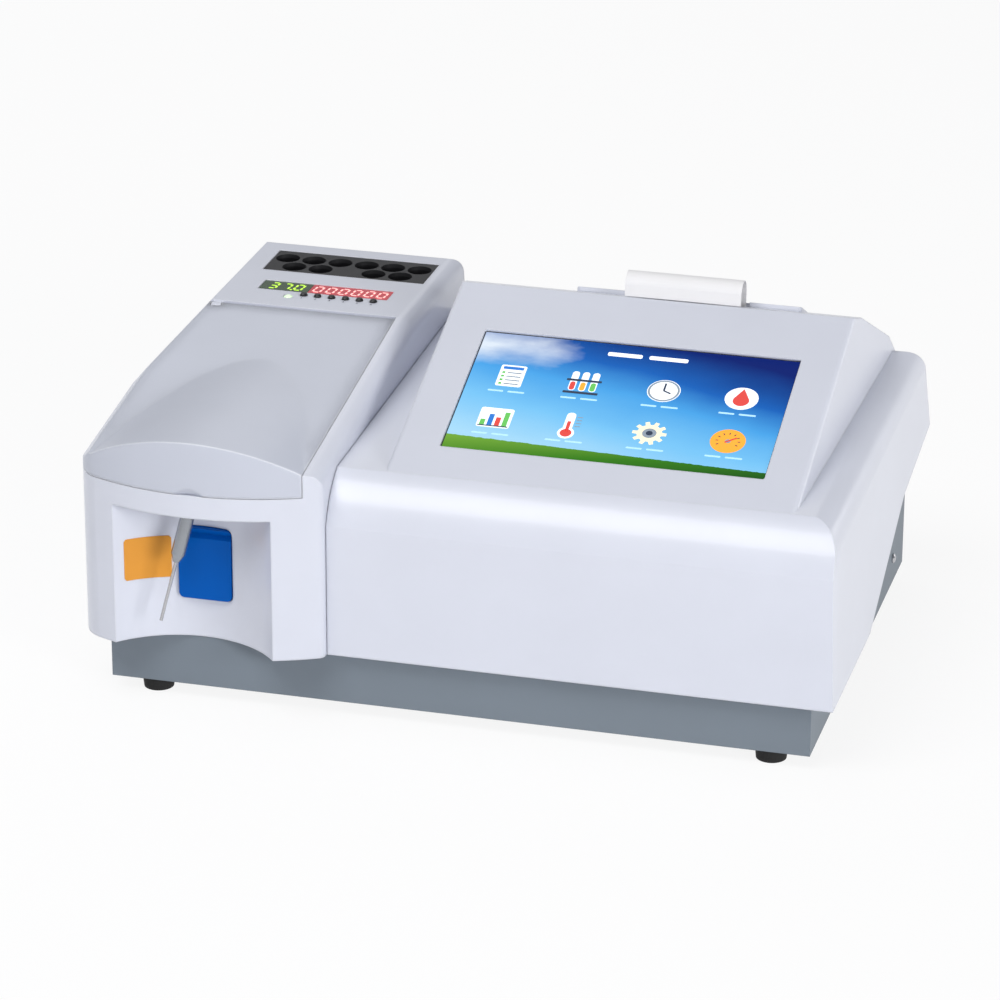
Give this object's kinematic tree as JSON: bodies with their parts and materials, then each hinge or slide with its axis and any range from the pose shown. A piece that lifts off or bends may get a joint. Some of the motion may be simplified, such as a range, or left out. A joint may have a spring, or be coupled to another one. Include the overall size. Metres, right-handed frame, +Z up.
{
  "type": "benchtop chemistry analyzer",
  "caption": "Benchtop chemistry analyzer with a hinged sampling lid, a recess with a probe and key, a tube incubator, a tilted touch screen and a slip printer.",
  "frame": {"origin": "on the bench, at the centre of the bounding box's lower face", "axes": "+X to the right as the user faces the screen, +Y to the rear, +Z up"},
  "size_m": [0.362, 0.273, 0.1785],
  "materials": {
    "aluminium": "machined",
    "base_grey": "satin powder coat",
    "black_plastic": "matt",
    "board_green": "solder mask",
    "cream_plastic": "matt",
    "dark_plastic": "matt",
    "display_green": "glossy filter",
    "display_red": "glossy filter",
    "heater": "film",
    "indicator": "glossy",
    "key_blue": "glossy",
    "lid_grey": "satin",
    "paper": "matt",
    "plate_dark": "fine grain",
    "rubber": "matt",
    "screen": "glossy",
    "shell_white": "satin",
    "steel": "bright",
    "tube_clear": "translucent silicone"
  },
  "bodies": {
    "chassis": {"base_tray": "base_grey", "rear_panel": "base_grey", "feet": "rubber", "side_screws": "steel", "rear_screws": "steel", "main_cover": "shell_white", "pod_cover": "shell_white", "lid_hinge_pin": "steel", "key_spring": "steel", "key_switch": "black_plastic", "key_bracket": "aluminium", "probe_holder": "dark_plastic", "probe_needle": "steel", "sample_tube": "tube_clear", "pod_chassis": "aluminium", "incubator_plate": "plate_dark", "incubator_block": "aluminium", "heater_pad": "heater", "block_bracket": "aluminium", "temp_display": "display_green", "timer_display": "display_red", "timer_indicator": "indicator", "timer_board": "board_green", "lamp_housing": "aluminium", "wheel_motor": "steel", "flow_cell": "dark_plastic", "detector": "dark_plastic", "pump_body": "cream_plastic", "pump_motor": "steel", "pump_tube": "tube_clear", "touch_glass": "screen", "lcd_panel": "black_plastic", "main_board": "board_green", "power_supply": "aluminium", "printer_frame": "dark_plastic", "paper_strip": "paper", "fan_frame": "black_plastic", "fan_guard": "steel", "power_inlet": "black_plastic", "power_switch": "black_plastic", "data_port": "dark_plastic", "waste_port": "cream_plastic"},
    "lid": {"sampling_lid": "lid_grey"},
    "key": {"aspirate_key": "key_blue"},
    "door": {"printer_door": "shell_white"},
    "platen": {"platen_roller": "rubber"},
    "roll": {"paper_roll": "paper"},
    "fan": {"fan_rotor": "black_plastic"},
    "rocker": {"switch_rocker": "black_plastic"},
    "wheel": {"filter_wheel": "black_plastic"},
    "rotor": {"pump_rotor": "dark_plastic"},
    "roller_1": {"pump_roller_1": "cream_plastic"},
    "roller_2": {"pump_roller_2": "cream_plastic"},
    "roller_3": {"pump_roller_3": "cream_plastic"},
    "button_1": {"timer_button_1": "black_plastic"},
    "button_2": {"timer_button_2": "black_plastic"},
    "button_3": {"timer_button_3": "black_plastic"},
    "button_4": {"timer_button_4": "black_plastic"},
    "button_5": {"timer_button_5": "black_plastic"},
    "button_6": {"timer_button_6": "black_plastic"}
  },
  "joints": [
    {"name": "lid_hinge", "type": "hinge", "parent": "chassis", "child": "lid", "pos_m": [-0.121, 0.0287, 0.1461], "axis": [-1, 0, 0], "range_deg": [0, 80]},
    {"name": "aspirate_press", "type": "slide", "parent": "chassis", "child": "key", "axis": [0, 1, 0], "range_m": [0, 0.0025], "stiffness_N_per_m": 400, "springref_m": -0.002, "deforming": ["key_spring"]},
    {"name": "printer_door_hinge", "type": "hinge", "parent": "chassis", "child": "door", "pos_m": [0.072, 0.10287, 0.13965], "axis": [-1, 0, 0], "range_deg": [0, 100]},
    {"name": "platen_spin", "type": "hinge", "parent": "chassis", "child": "platen", "pos_m": [0.072, 0.05861, 0.15216], "axis": [1, 0, 0], "continuous": true},
    {"name": "paper_roll_spin", "type": "hinge", "parent": "chassis", "child": "roll", "pos_m": [0.072, 0.07377, 0.12726], "axis": [1, 0, 0], "continuous": true},
    {"name": "fan_spin", "type": "hinge", "parent": "chassis", "child": "fan", "pos_m": [0.02, 0.1185, 0.0416], "axis": [0, 1, 0], "continuous": true},
    {"name": "switch_rock", "type": "hinge", "parent": "chassis", "child": "rocker", "pos_m": [0.1, 0.1259, 0.0366], "axis": [1, 0, 0], "range_deg": [0, 16]},
    {"name": "filter_wheel_spin", "type": "hinge", "parent": "chassis", "child": "wheel", "pos_m": [-0.107, 0.0055, 0.0985], "axis": [1, 0, 0], "continuous": true},
    {"name": "pump_spin", "type": "hinge", "parent": "chassis", "child": "rotor", "pos_m": [-0.1389, -0.0665, 0.082], "axis": [0, 0, 1], "continuous": true},
    {"name": "pump_roller_1_spin", "type": "hinge", "parent": "rotor", "child": "roller_1", "pos_m": [-0.1274, -0.0665, 0.084], "axis": [0, 0, 1], "continuous": true},
    {"name": "pump_roller_2_spin", "type": "hinge", "parent": "rotor", "child": "roller_2", "pos_m": [-0.14465, -0.05654, 0.084], "axis": [0, 0, 1], "continuous": true},
    {"name": "pump_roller_3_spin", "type": "hinge", "parent": "rotor", "child": "roller_3", "pos_m": [-0.14465, -0.07646, 0.084], "axis": [0, 0, 1], "continuous": true},
    {"name": "timer_button_1_press", "type": "slide", "parent": "chassis", "child": "button_1", "axis": [0, 0, -1], "range_m": [0, 0.0008], "stiffness_N_per_m": 150, "springref_m": -0.001},
    {"name": "timer_button_2_press", "type": "slide", "parent": "chassis", "child": "button_2", "axis": [0, 0, -1], "range_m": [0, 0.0008], "stiffness_N_per_m": 150, "springref_m": -0.001},
    {"name": "timer_button_3_press", "type": "slide", "parent": "chassis", "child": "button_3", "axis": [0, 0, -1], "range_m": [0, 0.0008], "stiffness_N_per_m": 150, "springref_m": -0.001},
    {"name": "timer_button_4_press", "type": "slide", "parent": "chassis", "child": "button_4", "axis": [0, 0, -1], "range_m": [0, 0.0008], "stiffness_N_per_m": 150, "springref_m": -0.001},
    {"name": "timer_button_5_press", "type": "slide", "parent": "chassis", "child": "button_5", "axis": [0, 0, -1], "range_m": [0, 0.0008], "stiffness_N_per_m": 150, "springref_m": -0.001},
    {"name": "timer_button_6_press", "type": "slide", "parent": "chassis", "child": "button_6", "axis": [0, 0, -1], "range_m": [0, 0.0008], "stiffness_N_per_m": 150, "springref_m": -0.001}
  ]
}
